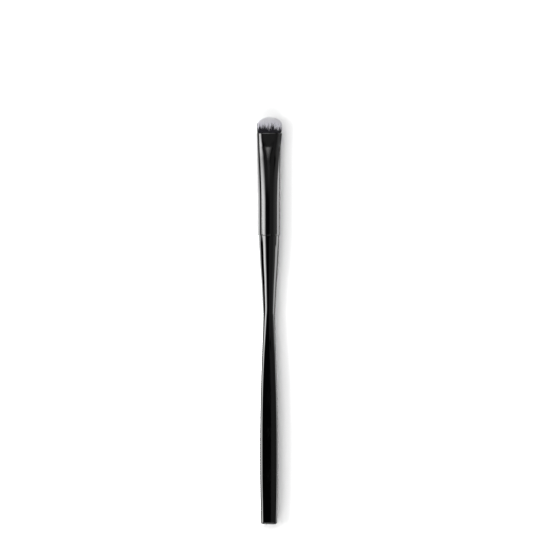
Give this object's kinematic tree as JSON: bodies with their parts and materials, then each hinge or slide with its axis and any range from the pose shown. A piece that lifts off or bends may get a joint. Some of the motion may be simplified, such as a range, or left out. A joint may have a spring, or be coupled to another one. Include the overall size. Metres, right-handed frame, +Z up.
{
  "type": "smudge brush",
  "caption": "Slim makeup smudge brush: short domed two-tone tuft in a pressed black ferrule, on a gloss black handle with a drawn-in waist, squared towards its flat butt.",
  "frame": {"origin": "on the surface the brush lies on, under the middle of its length and width", "axes": "+Y towards the tip of the tuft, +Z up out of the flat side of the tuft and handle, +X across; the brush's own axis leans 0.4 degrees, butt low, as it lies"},
  "size_m": [0.01, 0.1602, 0.0087],
  "materials": {
    "handle_lacquer": "high gloss black, bare of print",
    "ferrule_metal": "satin black coated",
    "cured_epoxy": "cured amber resin",
    "fibre": "fine synthetic fibre, dark at the ferrule and pale at the tips"
  },
  "bodies": {
    "root": {"handle": "handle_lacquer", "ferrule": "ferrule_metal", "tenon_adhesive": "cured_epoxy", "root_plug": "cured_epoxy", "bristle_layer_1": "fibre", "bristle_layer_2": "fibre", "bristle_layer_3": "fibre", "bristle_layer_4": "fibre", "bristle_layer_5": "fibre"}
  },
  "joints": []
}
